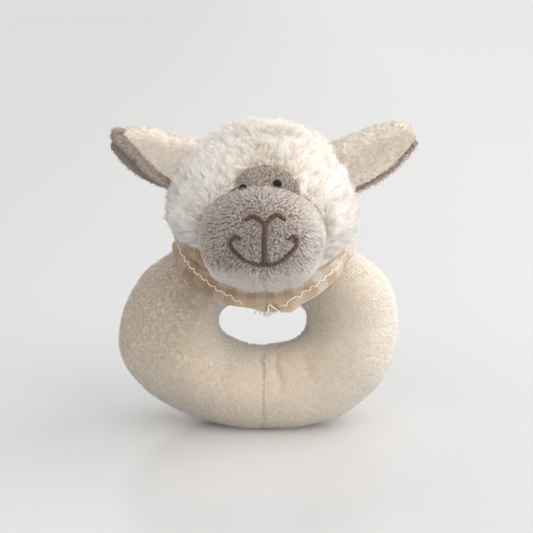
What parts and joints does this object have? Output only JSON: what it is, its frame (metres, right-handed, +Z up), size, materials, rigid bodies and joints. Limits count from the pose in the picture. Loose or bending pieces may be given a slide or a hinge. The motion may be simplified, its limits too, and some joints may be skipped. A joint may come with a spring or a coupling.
{
  "type": "plush ring rattle",
  "caption": "Stuffed plush grasping ring with a hand hole and a soft lamb's head sewn over its top, with folded ears, a neckerchief and a rattle capsule in the head.",
  "frame": {"origin": "on the floor, in the middle of the ring's flat foot, under the head's centre line", "axes": "+Z up, the face looks towards -Y, +X is to the viewer's right"},
  "size_m": [0.1385, 0.0898, 0.1423],
  "materials": {
    "ring_plush": "short cream plush pile",
    "fleece": "long curly off-white fleece",
    "face_plush": "short taupe plush pile",
    "ear_plush": "short cream plush pile",
    "ear_lining": "short taupe plush pile",
    "brown_thread": "dark brown embroidery thread",
    "black_thread": "black satin stitch",
    "gingham": "beige and off-white woven gingham",
    "fibre_fill": "white polyester fibre fill",
    "capsule_plastic": "moulded translucent white",
    "bead_plastic": "moulded red"
  },
  "bodies": {
    "ring": {"ring_cover_left": "ring_plush", "ring_cover_right": "ring_plush", "ring_stuffing": "fibre_fill"},
    "head": {"head_fleece_left": "fleece", "head_fleece_right": "fleece", "forehead_panel": "face_plush", "muzzle_cover": "face_plush", "head_stuffing": "fibre_fill", "eye_left": "black_thread", "eye_right": "black_thread", "nose_embroidery": "brown_thread", "smile_embroidery": "brown_thread", "neckerchief": "gingham", "capsule_cup": "capsule_plastic", "capsule_lid": "capsule_plastic"},
    "ear_left": {"ear_left_outer": "ear_plush", "ear_left_lining": "ear_lining"},
    "ear_right": {"ear_right_outer": "ear_plush", "ear_right_lining": "ear_lining"},
    "bead_1": {"bead_1": "bead_plastic"},
    "bead_2": {"bead_2": "bead_plastic"},
    "bead_3": {"bead_3": "bead_plastic"}
  },
  "joints": [
    {"name": "head_nod", "type": "hinge", "parent": "ring", "child": "head", "pos_m": [0, 0.00804, 0.07469], "axis": [1, 0, 0], "range_deg": [-6, 6], "stiffness_Nm_per_rad": 2},
    {"name": "ear_left_flap", "type": "hinge", "parent": "head", "child": "ear_left", "pos_m": [-0.03166, -0.00296, 0.12089], "axis": [0, 1, 0], "range_deg": [-20, 20], "stiffness_Nm_per_rad": 0.1},
    {"name": "ear_right_flap", "type": "hinge", "parent": "head", "child": "ear_right", "pos_m": [0.03168, -0.00296, 0.11865], "axis": [0, 1, 0], "range_deg": [-20, 20], "stiffness_Nm_per_rad": 0.1},
    {"name": "bead_1_slide", "type": "slide", "parent": "head", "child": "bead_1", "axis": [0, 0, 1], "range_m": [0, 0.0148]},
    {"name": "bead_2_slide", "type": "slide", "parent": "head", "child": "bead_2", "axis": [0, 0, 1], "range_m": [0, 0.0148]},
    {"name": "bead_3_slide", "type": "slide", "parent": "head", "child": "bead_3", "axis": [0, 0, 1], "range_m": [0, 0.0148]}
  ]
}
